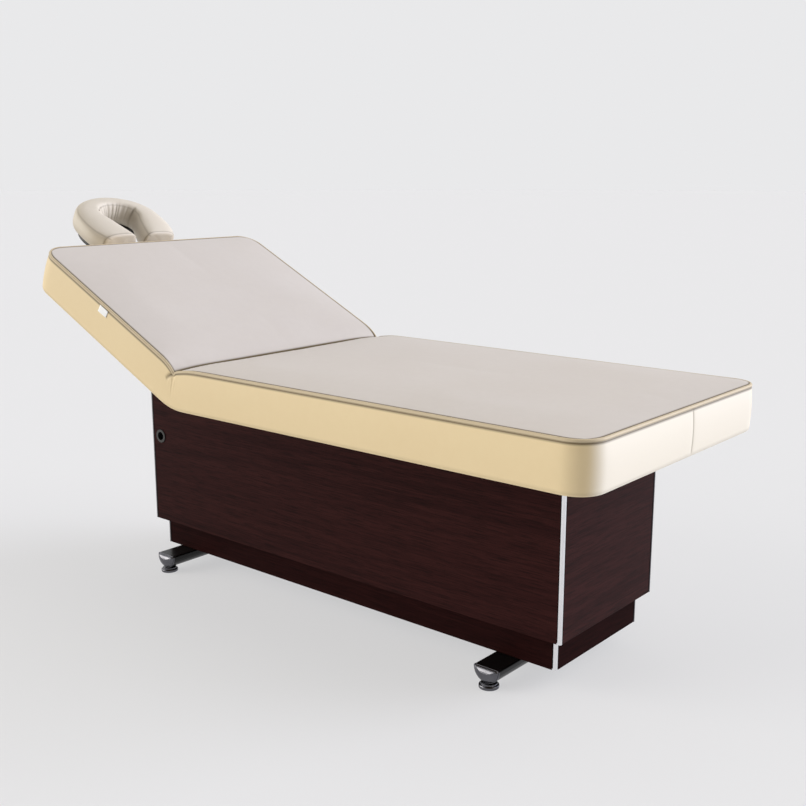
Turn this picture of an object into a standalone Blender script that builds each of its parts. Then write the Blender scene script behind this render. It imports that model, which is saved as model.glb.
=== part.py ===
"""Facial treatment bed: a wooden box cabinet on two cross beams, a lifting upper box, a padded
bed with a tilting backrest, and a face cradle on two rods.

Units are metres and +Z is up. +X points to the foot end and the near long side is -Y. Every
piece is one closed mesh. X is measured from the middle of the cabinet, and the root empty moves
the whole bed so that the origin is under the middle of its bounding box.
"""

import math

import bmesh
import bpy
from mathutils import Matrix, Vector

# ---------------------------------------------------------------- driving dimensions
GAP = 0.0003                      # clearance between pieces that touch
RUN = 0.0001                      # radial clearance of a shaft or rod in its bore
BED_SHIFT = 0.1738                # puts the origin under the middle of the bounding box

BED_WIDTH = 0.80
SEAT_FOOT_X = 0.880               # foot end of the seat cushion
CREASE_X = -0.3531                # where the two top faces meet at rest
CUSHION_BOTTOM = 0.5386
CUSHION_TOP = 0.6551
CORNER_RADIUS = 0.064             # plan radius of the cushion corners
EDGE_RADIUS = 0.009               # rounding along the cushion edges
BOARD_THICKNESS = 0.012
BOARD_MARGIN = 0.025
BACK_LENGTH = 0.6477              # crease to head end
BACK_ANGLE = 0.4513               # backrest angle at rest, in radians
V_ANGLE = math.radians(36.0)      # slope of each cushion's end face at the fold

PIVOT_Z = 0.5185
PIVOT_X = CREASE_X - (CUSHION_TOP - PIVOT_Z) * math.tan(BACK_ANGLE / 2)
LOCAL_BOTTOM = CUSHION_BOTTOM - PIVOT_Z
LOCAL_TOP = CUSHION_TOP - PIVOT_Z
LOCAL_HEAD = -LOCAL_TOP * math.tan(BACK_ANGLE / 2) - BACK_LENGTH

CABINET_LENGTH = 1.425
CABINET_WIDTH = 0.418
CABINET_Z = (0.1305, 0.5360)
PLINTH_LENGTH = 1.375
PLINTH_WIDTH = 0.368
PLINTH_Z = (0.0525, 0.4400)
PANEL = 0.018
CORNER_LEG = 0.0075               # width of an aluminium corner profile
CORNER_GROOVE = 0.0025            # shadow gap between a panel and a corner profile
CORNER_DEPTH = 0.0060             # depth of that gap

BEAM_X = {"head": -0.600, "foot": 0.555}
BEAM_WIDTH = 0.070
BEAM_TOP = 0.0520
BEAM_BOTTOM = 0.0140
BEAM_END = 0.2625                 # half length of the extrusion without its caps
CAP_RIM = 0.0030                  # thickness of the cap's rim
CAP_DOME = 0.0095
FOOT_Y = 0.2545
FOOT_RADIUS = 0.0240
STUD_RADIUS = 0.005

COLUMN_X = {"head": -0.250, "foot": 0.400}
RAIL_Y = 0.172
RAIL_WIDTH = 0.030
RAIL_Z = (0.4980, 0.5380)
RAIL_END = 0.690
SHAFT_RADIUS = 0.008

ARM_Y = 0.135
ARM_WIDTH = 0.012
ARM_LENGTH = 0.290
CRANK_LENGTH = 0.055              # hinge to the crank's pin
CRANK_MIDDLE = math.radians(32.5)  # backrest angle at which the crank hangs straight down
ACTUATOR_Y = 0.105
ACTUATOR_TAIL = Vector((0.330, 0.0, -0.0507))  # tail pin, from the hinge
PIN_RADIUS = 0.005
YOKE = (0.0130, 0.0200)           # half width and half height of the rod's slotted end
YOKE_SLOT = (0.0061, 0.0045)      # half width of the slot, and its ends from the middle

CRADLE_PIVOT = (-0.760, 0.030)    # x and z in the backrest frame
CRADLE_TILT = math.radians(4.0)
ROD_Y = 0.070
ROD_Z = 0.008
ROD_RADIUS = 0.006
SOCKET_RADIUS = 0.009
CRADLE_CENTRE_X = -0.845
CRADLE_MID_Z = 0.095
PAD_HALF_HEIGHT = 0.0400
# Half of the face pad seen from above, from an arm's end to the middle of the head side, as
# (x from the tilt pivot, y).
PAD_OUTER = ((0.016, 0.136), (-0.030, 0.156), (-0.085, 0.160), (-0.140, 0.150),
             (-0.187, 0.115), (-0.2153, 0.060), (-0.2242, 0.0))
PAD_INNER = ((0.016, 0.010), (-0.024, 0.020), (-0.066, 0.036), (-0.105, 0.052),
             (-0.134, 0.042), (-0.148, 0.020), (-0.151, 0.0))

# ---------------------------------------------------------------- scene and materials
for old in list(bpy.data.objects):
    bpy.data.objects.remove(old, do_unlink=True)

parts = bpy.data.collections.new("treatment_bed")
cutters = bpy.data.collections.new("cutters")
bpy.context.scene.collection.children.link(parts)
bpy.context.scene.collection.children.link(cutters)

FINISHES = {
    "leather_top": ((0.62, 0.56, 0.50), 0.50, 0.0),
    "leather_side": ((0.80, 0.67, 0.45), 0.50, 0.0),
    "wood": ((0.045, 0.018, 0.016), 0.35, 0.0),
    "aluminium": ((0.80, 0.80, 0.81), 0.25, 1.0),
    "chrome": ((0.78, 0.78, 0.80), 0.10, 1.0),
    "black_beam": ((0.010, 0.010, 0.011), 0.30, 0.0),
    "steel_paint": ((0.060, 0.062, 0.065), 0.45, 0.0),
    "grey_tube": ((0.42, 0.43, 0.44), 0.35, 1.0),
    "black_plastic": ((0.012, 0.012, 0.013), 0.45, 0.0),
    "plywood": ((0.50, 0.36, 0.22), 0.60, 0.0),
}


def finish(obj, kind):
    """Gives a piece its own Principled material."""
    colour, roughness, metallic = FINISHES[kind]
    material = bpy.data.materials.new(obj.name + "_" + kind)
    material.use_nodes = True
    shader = material.node_tree.nodes["Principled BSDF"]
    shader.inputs["Base Color"].default_value = (*colour, 1.0)
    shader.inputs["Roughness"].default_value = roughness
    shader.inputs["Metallic"].default_value = metallic
    material.diffuse_color = (*colour, 1.0)
    obj.data.materials.clear()
    obj.data.materials.append(material)


def empty(name, location, parent=None, tilt=0.0):
    obj = bpy.data.objects.new(name, None)
    obj.empty_display_size = 0.05
    obj.location = location
    obj.rotation_euler = (0.0, tilt, 0.0)
    obj.parent = parent
    parts.objects.link(obj)
    return obj


def piece(name, bm, kind, parent, smooth=40.0):
    """Makes a named piece from a bmesh and frees the bmesh."""
    bmesh.ops.recalc_face_normals(bm, faces=bm.faces)
    mesh = bpy.data.meshes.new(name)
    bm.to_mesh(mesh)
    bm.free()
    mesh.shade_smooth()
    mesh.set_sharp_from_angle(angle=math.radians(smooth))
    obj = bpy.data.objects.new(name, mesh)
    obj.parent = parent
    parts.objects.link(obj)
    finish(obj, kind)
    return obj


def cutter(name, bm, parent):
    """Makes a hidden wire cutter from a bmesh."""
    bmesh.ops.recalc_face_normals(bm, faces=bm.faces)
    mesh = bpy.data.meshes.new(name)
    bm.to_mesh(mesh)
    bm.free()
    obj = bpy.data.objects.new(name, mesh)
    obj.parent = parent
    obj.hide_render = True
    obj.display_type = "WIRE"
    cutters.objects.link(obj)
    return obj


def boolean(obj, other, operation="DIFFERENCE"):
    modifier = obj.modifiers.new(operation.lower(), "BOOLEAN")
    modifier.operation = operation
    modifier.solver = "EXACT"
    modifier.object = other


def bevel(obj, width, segments=2, angle=40.0):
    modifier = obj.modifiers.new("bevel", "BEVEL")
    modifier.width = width
    modifier.segments = segments
    modifier.limit_method = "ANGLE"
    modifier.angle_limit = math.radians(angle)
    modifier.use_clamp_overlap = True


# ---------------------------------------------------------------- shapes as bmesh
def box(x, y, z):
    """A box between two values on each axis."""
    bm = bmesh.new()
    bmesh.ops.create_cube(bm, size=1.0)
    size = (x[1] - x[0], y[1] - y[0], z[1] - z[0])
    centre = ((x[0] + x[1]) / 2, (y[0] + y[1]) / 2, (z[0] + z[1]) / 2)
    bmesh.ops.scale(bm, verts=bm.verts, vec=size)
    bmesh.ops.translate(bm, verts=bm.verts, vec=centre)
    return bm


def prism(points, axis, start, end):
    """A flat outline pushed along an axis. Points are the two other coordinates in order."""
    def place(a, b, along):
        return {"X": (along, a, b), "Y": (a, along, b), "Z": (a, b, along)}[axis]

    bm = bmesh.new()
    face = bm.faces.new([bm.verts.new(place(a, b, start)) for a, b in points])
    grown = bmesh.ops.extrude_face_region(bm, geom=[face])["geom"]
    verts = [g for g in grown if isinstance(g, bmesh.types.BMVert)]
    bmesh.ops.translate(bm, verts=verts, vec=place(0.0, 0.0, end - start))
    return bm


def cylinder(radius, start, end, segments=32):
    """A cylinder between two points."""
    start, end = Vector(start), Vector(end)
    along = end - start
    turn = along.to_track_quat("Z", "Y").to_matrix().to_4x4()
    bm = bmesh.new()
    bmesh.ops.create_cone(
        bm, cap_ends=True, segments=segments, radius1=radius, radius2=radius,
        depth=along.length, matrix=Matrix.Translation((start + end) / 2) @ turn)
    return bm


def lathe(profile, centre, segments=32):
    """Spins (radius, z) points about a vertical axis. The profile starts and ends on the axis."""
    bm = bmesh.new()
    verts = [bm.verts.new((r, 0.0, z)) for r, z in profile]
    edges = [bm.edges.new(pair) for pair in zip(verts, verts[1:])]
    bmesh.ops.spin(bm, geom=verts + edges, cent=(0, 0, 0), axis=(0, 0, 1),
                   angle=math.tau, steps=segments, use_merge=True)
    bmesh.ops.remove_doubles(bm, verts=bm.verts, dist=1e-5)
    bmesh.ops.translate(bm, verts=bm.verts, vec=centre)
    return bm


def loft(rings):
    """Bridges rings of equal length and caps both ends."""
    bm = bmesh.new()
    made = [[bm.verts.new(p) for p in ring] for ring in rings]
    for one, two in zip(made, made[1:]):
        for k in range(len(one)):
            n = (k + 1) % len(one)
            bm.faces.new((one[k], one[n], two[n], two[k]))
    bm.faces.new(made[0])
    bm.faces.new(list(reversed(made[-1])))
    return bm


def round_edges(bm, radius, segments, choose):
    """Bevels the edges that choose(edge) accepts."""
    edges = [e for e in bm.edges if choose(e)]
    bmesh.ops.bevel(bm, geom=edges, offset=radius, segments=segments, profile=0.5,
                    affect="EDGES", clamp_overlap=True)


def fused(name, meshes, kind, parent):
    """One piece from overlapping bmeshes, each united with the first."""
    first, *others = meshes
    obj = piece(name, first, kind, parent)
    for k, other in enumerate(others):
        boolean(obj, cutter(name + "_add_" + str(k), other, parent), "UNION")
    return obj


# ---------------------------------------------------------------- frames
root = empty("treatment_bed_origin", (BED_SHIFT, 0.0, 0.0))
hinge = empty("backrest_frame", (PIVOT_X, 0.0, PIVOT_Z), root, BACK_ANGLE)
tail = Vector((PIVOT_X, ACTUATOR_Y, PIVOT_Z)) + ACTUATOR_TAIL
actuator = empty("actuator_frame", tail, root)
cradle = empty("cradle_frame", (CRADLE_PIVOT[0], 0.0, CRADLE_PIVOT[1]), hinge, CRADLE_TILT)


# ---------------------------------------------------------------- base: beams, caps and feet
def beam_outline(grow=1.0, segments=14):
    """Flat top, short sides and a round underside, as (x, z) about the middle of the top."""
    half = BEAM_WIDTH / 2
    side = 0.006
    depth = BEAM_TOP - BEAM_BOTTOM - side
    points = [(half - 0.003, 0.0), (half, -0.003)]
    for k in range(segments + 1):
        turn = math.pi * k / segments
        points.append((half * math.cos(turn), -side - depth * math.sin(turn)))
    points += [(-half, -0.003), (-half + 0.003, 0.0)]
    middle = -(BEAM_TOP - BEAM_BOTTOM) * 0.45
    return [(x * grow, middle + (z - middle) * grow) for x, z in points]


def end_cap(name, x, side):
    """A chromed end cap: a thin rim a little proud of the beam, and a dome."""
    start = BEAM_END + GAP
    steps = [(start, 1.00), (start + 0.0005, 1.02), (start + CAP_RIM - 0.0005, 1.02),
             (start + CAP_RIM, 1.00), (start + CAP_RIM, 0.95)]
    for k in range(1, 8):
        turn = math.pi / 2 * k / 7.4
        steps.append((start + CAP_RIM + CAP_DOME * math.sin(turn), 0.95 * math.cos(turn)))
    rings = []
    for along, grow in steps:
        rings.append([(x + a, side * along, BEAM_TOP + b) for a, b in beam_outline(grow)])
    piece(name, loft(rings), "chrome", root, 50.0)


for end, beam_x in BEAM_X.items():
    outline = [(beam_x + a, BEAM_TOP + b) for a, b in beam_outline()]
    beam = piece("beam_" + end, prism(outline, "Y", -BEAM_END, BEAM_END), "black_beam", root)
    for side_name, side in (("near", -1.0), ("far", 1.0)):
        label = end + "_" + side_name
        end_cap("beam_cap_" + label, beam_x, side)
        bore = cylinder(STUD_RADIUS + RUN, (beam_x, side * FOOT_Y, 0.0),
                        (beam_x, side * FOOT_Y, 0.041), 24)
        boolean(beam, cutter("beam_bore_" + label, bore, root))
        foot_profile = [
            (0.0, 0.0), (FOOT_RADIUS - 0.002, 0.0), (FOOT_RADIUS - 0.0005, 0.0007),
            (FOOT_RADIUS, 0.0020), (FOOT_RADIUS, 0.0068), (FOOT_RADIUS - 0.0010, 0.0082),
            (0.0205, 0.0088), (0.0195, 0.0098), (0.0195, 0.0122), (0.0188, 0.0129),
            (STUD_RADIUS, 0.0129), (STUD_RADIUS, 0.036), (0.0, 0.036)]
        foot = lathe(foot_profile, (beam_x, side * FOOT_Y, 0.0))
        piece("foot_" + label, foot, "chrome", root)

for side_name, side in (("near", -1.0), ("far", 1.0)):
    y = sorted((side * 0.080, side * 0.120))
    rail = piece("base_rail_" + side_name, box((-0.625, 0.580), y, (BEAM_TOP + GAP, 0.0920)),
                 "steel_paint", root)
    bevel(rail, 0.003)


# ---------------------------------------------------------------- boxes with corner profiles
def corner_outline(x, y, sx, sy):
    """A corner profile seen from above: a round outside edge and a web between the mitres."""
    leg, radius = CORNER_LEG, 0.0050
    points = []
    for k in range(7):
        turn = math.pi / 2 * k / 6
        points.append((radius - radius * math.cos(turn), radius - radius * math.sin(turn)))
    web = leg + CORNER_GROOVE - 0.0012
    deep = CORNER_DEPTH
    points += [(leg, 0.0), (leg, deep), (deep + web, deep), (PANEL - 0.001, PANEL - 0.001 - web),
               (PANEL - 0.001 - web, PANEL - 0.001), (deep, deep + web), (deep, leg), (0.0, leg)]
    return [(x - sx * a, y - sy * b) for a, b in points]


def panel_box(prefix, length, width, z):
    """Two side panels and two end panels with mitred ends, and four corner profiles."""
    made = {}
    half_x, half_y = length / 2, width / 2
    flush = 0.0006
    stop = CORNER_LEG + CORNER_GROOVE
    mitre = PANEL - flush
    for side_name, side in (("near", -1.0), ("far", 1.0)):
        outer, inner = side * (half_y - flush), side * (half_y - PANEL)
        reach = half_x - stop
        outline = [(-reach, outer), (reach, outer), (reach - mitre, inner), (-reach + mitre, inner)]
        made[side_name] = piece(prefix + "_side_" + side_name, prism(outline, "Z", *z), "wood", root)
    for end_name, end in (("head", -1.0), ("foot", 1.0)):
        outer, inner = end * (half_x - flush), end * (half_x - PANEL)
        reach = half_y - stop
        outline = [(outer, -reach), (outer, reach), (inner, reach - mitre), (inner, -reach + mitre)]
        made[end_name] = piece(prefix + "_end_" + end_name, prism(outline, "Z", *z), "wood", root)
        for side_name, side in (("near", -1.0), ("far", 1.0)):
            outline = corner_outline(end * half_x, side * half_y, end, side)
            piece(prefix + "_corner_" + end_name + "_" + side_name,
                  prism(outline, "Z", *z), "aluminium", root)
    for obj in made.values():
        bevel(obj, 0.0008, 2)
    return made


plinth = panel_box("plinth", PLINTH_LENGTH, PLINTH_WIDTH, PLINTH_Z)
cabinet = panel_box("cabinet", CABINET_LENGTH, CABINET_WIDTH, CABINET_Z)

# Mains inlet in the head end of the plinth: flange, shroud and three pins in one body.
INLET_Y, INLET_Z = 0.070, 0.0900
head_face = -PLINTH_LENGTH / 2 + 0.0006
inlet_hole = box((head_face - 0.010, head_face + 0.030), (INLET_Y - 0.0155, INLET_Y + 0.0155),
                 (INLET_Z - 0.0125, INLET_Z + 0.0125))
boolean(plinth["head"], cutter("inlet_panel_hole", inlet_hole, root))
plinth["head"].modifiers.move(1, 0)
inlet = fused("mains_inlet", [
    box((head_face - 0.003, head_face - GAP), (INLET_Y - 0.022, INLET_Y + 0.022),
        (INLET_Z - 0.0165, INLET_Z + 0.0165)),
    box((head_face - 0.001, head_face + 0.024), (INLET_Y - 0.0150, INLET_Y + 0.0150),
        (INLET_Z - 0.0120, INLET_Z + 0.0120))], "black_plastic", root)
recess = box((head_face - 0.004, head_face + 0.018), (INLET_Y - 0.0120, INLET_Y + 0.0120),
             (INLET_Z - 0.0090, INLET_Z + 0.0090))
boolean(inlet, cutter("inlet_recess", recess, root))
for k, (dy, dz) in enumerate(((-0.007, -0.002), (0.0, 0.003), (0.007, -0.002))):
    pin = box((head_face + 0.003, head_face + 0.020), (INLET_Y + dy - 0.001, INLET_Y + dy + 0.001),
              (INLET_Z + dz - 0.002, INLET_Z + dz + 0.002))
    boolean(inlet, cutter("inlet_pin_" + str(k), pin, root), "UNION")

# Round accessory socket on the near side, close to the head end.
SOCKET_X, SOCKET_Z = -0.672, 0.388
face_y = -CABINET_WIDTH / 2 + 0.0006
hole = cylinder(0.0155, (SOCKET_X, face_y - 0.01, SOCKET_Z), (SOCKET_X, face_y + 0.03, SOCKET_Z))
boolean(cabinet["near"], cutter("socket_panel_hole", hole, root))
cabinet["near"].modifiers.move(1, 0)
socket = fused("accessory_socket", [
    cylinder(0.0195, (SOCKET_X, face_y - 0.0025, SOCKET_Z), (SOCKET_X, face_y - GAP, SOCKET_Z)),
    cylinder(0.0150, (SOCKET_X, face_y - 0.001, SOCKET_Z), (SOCKET_X, face_y + 0.021, SOCKET_Z))],
    "black_plastic", root)
hole = cylinder(0.0125, (SOCKET_X, face_y - 0.01, SOCKET_Z), (SOCKET_X, face_y + 0.018, SOCKET_Z))
boolean(socket, cutter("socket_recess", hole, root))


# ---------------------------------------------------------------- lifting columns
def square_bar(x, half, z):
    """An upright square bar with round corners."""
    outer = box((x - half, x + half), (-half, half), z)
    round_edges(outer, 0.012, 4, lambda e: abs(e.verts[0].co.z - e.verts[1].co.z) > 0.01)
    return outer


for end, column_x in COLUMN_X.items():
    outer = fused("column_outer_" + end, [
        square_bar(column_x, 0.0500, (0.0990, 0.4400)),
        box((column_x - 0.080, column_x + 0.080), (-0.125, 0.125), (0.0923, 0.1000))],
        "steel_paint", root)
    bore = square_bar(column_x, 0.0455, (0.1020, 0.4500))
    boolean(outer, cutter("column_outer_bore_" + end, bore, root))
    middle = piece("column_middle_" + end, square_bar(column_x, 0.0450, (0.1050, 0.4550)),
                   "grey_tube", root)
    bore = square_bar(column_x, 0.0405, (0.1010, 0.4600))
    boolean(middle, cutter("column_middle_bore_" + end, bore, root))
    fused("column_inner_" + end, [
        square_bar(column_x, 0.0400, (0.1120, 0.4880)),
        box((column_x - 0.070, column_x + 0.070), (-0.075, 0.075), (0.4875, 0.4997))],
        "grey_tube", root)

control = piece("control_box", box((-0.050, 0.220), (-0.115, 0.115), (0.0923, 0.1500)),
                "black_plastic", root)
bevel(control, 0.006, 3)

# ---------------------------------------------------------------- upper frame
for side_name, side in (("near", -1.0), ("far", 1.0)):
    y = (side * RAIL_Y - RAIL_WIDTH / 2, side * RAIL_Y + RAIL_WIDTH / 2)
    rail = piece("upper_rail_" + side_name, box((-RAIL_END, RAIL_END), y, RAIL_Z),
                 "steel_paint", root)
    bore = cylinder(SHAFT_RADIUS + RUN, (PIVOT_X, y[0] - 0.01, PIVOT_Z),
                    (PIVOT_X, y[1] + 0.01, PIVOT_Z))
    boolean(rail, cutter("upper_rail_bore_" + side_name, bore, root))

inner_reach = RAIL_Y - RAIL_WIDTH / 2 - GAP
for end, column_x in COLUMN_X.items():
    member = piece("cross_member_" + end, box((column_x - 0.050, column_x + 0.050),
                   (-inner_reach, inner_reach), (0.5000, 0.5300)), "steel_paint", root)
    bevel(member, 0.003)

shaft = piece("hinge_shaft", cylinder(SHAFT_RADIUS, (PIVOT_X, -0.1875, PIVOT_Z),
              (PIVOT_X, 0.1875, PIVOT_Z)), "grey_tube", root)
bevel(shaft, 0.001)

# Cross bar with two lugs and a pin for the actuator's tail.
tail_x, tail_z = tail.x, tail.z
lug_meshes = [box((tail_x - 0.018, tail_x + 0.018), (-inner_reach, inner_reach), (0.5050, 0.5300))]
for offset in (-1.0, 1.0):
    y = sorted((ACTUATOR_Y + offset * 0.0145, ACTUATOR_Y + offset * 0.0205))
    lug_meshes.append(box((tail_x - 0.014, tail_x + 0.014), y, (tail_z - 0.012, 0.5100)))
lug_meshes.append(cylinder(0.005, (tail_x, ACTUATOR_Y - 0.024, tail_z),
                           (tail_x, ACTUATOR_Y + 0.024, tail_z), 24))
fused("actuator_bracket", lug_meshes, "steel_paint", root)


# ---------------------------------------------------------------- cushions and boards
def is_upright(edge):
    one, two = edge.verts[0].co, edge.verts[1].co
    return abs(one.x - two.x) < 1e-6 and abs(one.y - two.y) < 1e-6


def cushion(name, outline, far_end, kind, parent, half_width=BED_WIDTH / 2):
    """A padded block from its side outline. far_end is the x of its round-cornered end."""
    bm = prism(outline, "Y", -half_width, half_width)
    if far_end is not None:
        round_edges(bm, CORNER_RADIUS, 8,
                    lambda e: is_upright(e) and abs(e.verts[0].co.x - far_end) < 1e-6)
        low = min(z for _, z in outline) + 1e-6
        high = max(z for _, z in outline) - 1e-6
        reach = half_width - 1e-6

        def rim(edge):
            one, two = edge.verts[0].co, edge.verts[1].co
            flat = (one.z > high and two.z > high) or (one.z < low and two.z < low)
            across = abs(one.y) > reach and abs(two.y) > reach and one.y * two.y < 0
            return flat and not (across and abs(one.x - far_end) > 0.01)

        bmesh.ops.recalc_face_normals(bm, faces=bm.faces)
        round_edges(bm, EDGE_RADIUS, 3, rim)
    return piece(name, bm, kind, parent)


def board_in_pocket(name, block, x, bottom, parent):
    """A plywood board set into the underside of a cushion."""
    half = BED_WIDTH / 2 - BOARD_MARGIN
    board = box(x, (-half, half), (bottom, bottom + BOARD_THICKNESS))
    round_edges(board, 0.045, 5, is_upright)
    piece(name, board, "plywood", parent)
    pocket = box((x[0] - GAP, x[1] + GAP), (-half - GAP, half + GAP),
                 (bottom - 0.01, bottom + BOARD_THICKNESS + GAP))
    round_edges(pocket, 0.045, 5, is_upright)
    boolean(block, cutter(name + "_pocket", pocket, parent))


slope = math.tan(V_ANGLE)
seat = cushion("seat_cushion", [
    (PIVOT_X + LOCAL_BOTTOM * slope, CUSHION_BOTTOM), (PIVOT_X + LOCAL_TOP * slope, CUSHION_TOP),
    (SEAT_FOOT_X, CUSHION_TOP), (SEAT_FOOT_X, CUSHION_BOTTOM)], SEAT_FOOT_X, "leather_top", root)
board_in_pocket("seat_board", seat, (PIVOT_X + 0.034, SEAT_FOOT_X - BOARD_MARGIN),
                CUSHION_BOTTOM, root)

back = cushion("backrest_cushion", [
    (-LOCAL_BOTTOM * slope, LOCAL_BOTTOM), (-LOCAL_TOP * slope, LOCAL_TOP),
    (LOCAL_HEAD, LOCAL_TOP), (LOCAL_HEAD, LOCAL_BOTTOM)], LOCAL_HEAD, "leather_top", hinge)
board_in_pocket("backrest_board", back, (LOCAL_HEAD + BOARD_MARGIN, -0.034), LOCAL_BOTTOM, hinge)


def in_bed(local):
    """A point of the backrest frame, given as (x, z), in the bed's frame."""
    moved = Matrix.Rotation(BACK_ANGLE, 3, "Y") @ Vector((local[0], 0.0, local[1]))
    return (PIVOT_X + moved.x, PIVOT_Z + moved.z)


inset = 0.0004 / math.cos(V_ANGLE)
half_bend = math.tan(BACK_ANGLE / 2)
wedge_outline = [
    (PIVOT_X + LOCAL_BOTTOM * slope - inset, CUSHION_BOTTOM),
    (PIVOT_X + LOCAL_TOP * slope - inset, CUSHION_TOP),
    (CREASE_X, CUSHION_TOP),
    in_bed((-LOCAL_TOP * slope + inset, LOCAL_TOP)),
    in_bed((-LOCAL_BOTTOM * slope + inset, LOCAL_BOTTOM)),
    (PIVOT_X + LOCAL_BOTTOM * half_bend, CUSHION_BOTTOM)]
cushion("fold_cushion", wedge_outline, None, "leather_top", root, BED_WIDTH / 2 - 0.0005)


# ---------------------------------------------------------------- backrest arms and crank
def arm(name, side, drives):
    """A hinge arm under the backrest board; the driven one has a crank with a pin."""
    y = sorted((side * (ARM_Y - ARM_WIDTH / 2), side * (ARM_Y + ARM_WIDTH / 2)))
    outline = [(0.0, -0.0080), (-ARM_LENGTH + 0.02, -0.0020), (-ARM_LENGTH, 0.0080),
               (-ARM_LENGTH, LOCAL_BOTTOM - GAP), (0.0, LOCAL_BOTTOM - GAP - 0.008)]
    hub = (y[0] - 0.001, y[1] + 0.001)
    meshes = [prism(outline, "Y", *y), cylinder(0.014, (0, hub[0], 0), (0, hub[1], 0))]
    if drives:
        web = (y[0] + 0.0015, y[1] - 0.0015)
        x = CRANK_LENGTH * math.sin(CRANK_MIDDLE)
        z = -CRANK_LENGTH * math.cos(CRANK_MIDDLE)
        meshes.append(prism([(-0.011, -0.004), (0.011, 0.006), (x + 0.009, z + 0.005),
                             (x - 0.009, z - 0.005)], "Y", *web))
        meshes.append(cylinder(0.012, (x, y[0], z), (x, y[1], z)))
        meshes.append(cylinder(PIN_RADIUS, (x, ACTUATOR_Y - 0.0085, z), (x, y[1] - 0.001, z), 24))
    obj = fused(name, meshes, "steel_paint", hinge)
    bore = cylinder(SHAFT_RADIUS + RUN, (0, y[0] - 0.01, 0), (0, y[1] + 0.01, 0))
    boolean(obj, cutter(name + "_bore", bore, hinge))


arm("backrest_arm_near", -1.0, False)
arm("backrest_arm_far", 1.0, True)

# ---------------------------------------------------------------- backrest actuator
# In its own frame the tail pin is at the origin and the rod points along -X. The body is bolted
# up to the cross member, and the crank's pin rides in an upright slot in the end of the rod.
foot_top = 0.5000 - GAP - tail.z
body = fused("actuator_body", [
    cylinder(0.0170, (-0.050, 0, 0), (-0.250, 0, 0)),
    box((-0.235, -0.165), (-0.0190, 0.0190), (0.0050, foot_top)),
    box((-0.070, -0.026), (-0.0200, 0.0200), (-0.060, 0.0200)),
    cylinder(0.0180, (-0.068, 0, -0.041), (-0.165, 0, -0.041)),
    box((-0.030, 0.0), (-0.0090, 0.0090), (-0.0100, 0.0100)),
    cylinder(0.0100, (0, -0.0090, 0), (0, 0.0090, 0))], "black_plastic", actuator)
boolean(body, cutter("actuator_tail_bore", cylinder(0.005 + RUN, (0, -0.02, 0), (0, 0.02, 0), 24),
                     actuator))
boolean(body, cutter("actuator_rod_bore", cylinder(0.008 + RUN, (-0.075, 0, 0), (-0.260, 0, 0)),
                     actuator))
pin_now = CRANK_LENGTH * math.sin(CRANK_MIDDLE - BACK_ANGLE) - ACTUATOR_TAIL.x
yoke = box((pin_now - YOKE[0], pin_now + YOKE[0]), (-0.0060, 0.0060), (-YOKE[1], YOKE[1]))
round_edges(yoke, 0.004, 3, lambda e: abs(e.verts[0].co.y - e.verts[1].co.y) > 0.01)
rod = fused("actuator_rod", [
    yoke, cylinder(0.0080, (-0.110, 0, 0), (pin_now + YOKE[0] - 0.002, 0, 0))], "chrome", actuator)
slot = []
for k in range(24):
    turn = math.tau * (k + 0.5) / 24
    shift = math.copysign(YOKE_SLOT[1], math.sin(turn))
    slot.append((pin_now + YOKE_SLOT[0] * math.cos(turn), YOKE_SLOT[0] * math.sin(turn) + shift))
boolean(rod, cutter("actuator_slot", prism(slot, "Y", -0.02, 0.02), actuator))

# ---------------------------------------------------------------- cradle slide
for side_name, side in (("near", -1.0), ("far", 1.0)):
    y = side * ROD_Y
    sleeve = fused("cradle_sleeve_" + side_name, [
        cylinder(SOCKET_RADIUS, (-0.665, y, ROD_Z), (-0.420, y, ROD_Z)),
        box((-0.640, -0.620), (y - 0.014, y + 0.014), (ROD_Z + 0.001, LOCAL_BOTTOM - GAP)),
        box((-0.460, -0.440), (y - 0.014, y + 0.014), (ROD_Z + 0.001, LOCAL_BOTTOM - GAP))],
        "steel_paint", hinge)
    bore = cylinder(ROD_RADIUS + RUN, (-0.680, y, ROD_Z), (-0.400, y, ROD_Z))
    boolean(sleeve, cutter("cradle_sleeve_bore_" + side_name, bore, hinge))
    if side < 0:
        hole = cylinder(0.0033, (-0.600, y, -0.010), (-0.600, y, ROD_Z), 20)
        boolean(sleeve, cutter("cradle_sleeve_screw_hole", hole, hinge))


def knob_profile(radius, height, stud_radius, stud_height):
    """Half outline of a knob with its stud pointing up from the top."""
    return [(0.0, 0.0), (radius - 0.002, 0.0), (radius, 0.002), (radius, height - 0.002),
            (radius - 0.002, height), (0.008, height), (0.008, height + 0.004),
            (stud_radius, height + 0.004), (stud_radius, height + 0.004 + stud_height),
            (0.0, height + 0.004 + stud_height)]


def fluted(bm, radius, lobes=8, depth=0.07):
    """Pulls the rim of a knob in between its lobes."""
    for vert in bm.verts:
        reach = math.hypot(vert.co.x, vert.co.y)
        if reach > radius * 0.8:
            turn = math.atan2(vert.co.y, vert.co.x)
            scale = 1.0 - depth * (0.5 - 0.5 * math.cos(turn * lobes))
            vert.co.x *= scale
            vert.co.y *= scale
    return bm


SLIDE_KNOB_TOP = ROD_Z - SOCKET_RADIUS - 0.0005
slide_frame = empty("slide_knob_frame", (-0.600, -ROD_Y, SLIDE_KNOB_TOP - 0.018), hinge)
slide_knob = lathe(knob_profile(0.015, 0.014, 0.003, 0.0030), (0, 0, 0), 40)
piece("cradle_slide_knob", fluted(slide_knob, 0.015), "black_plastic", slide_frame)

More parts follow.
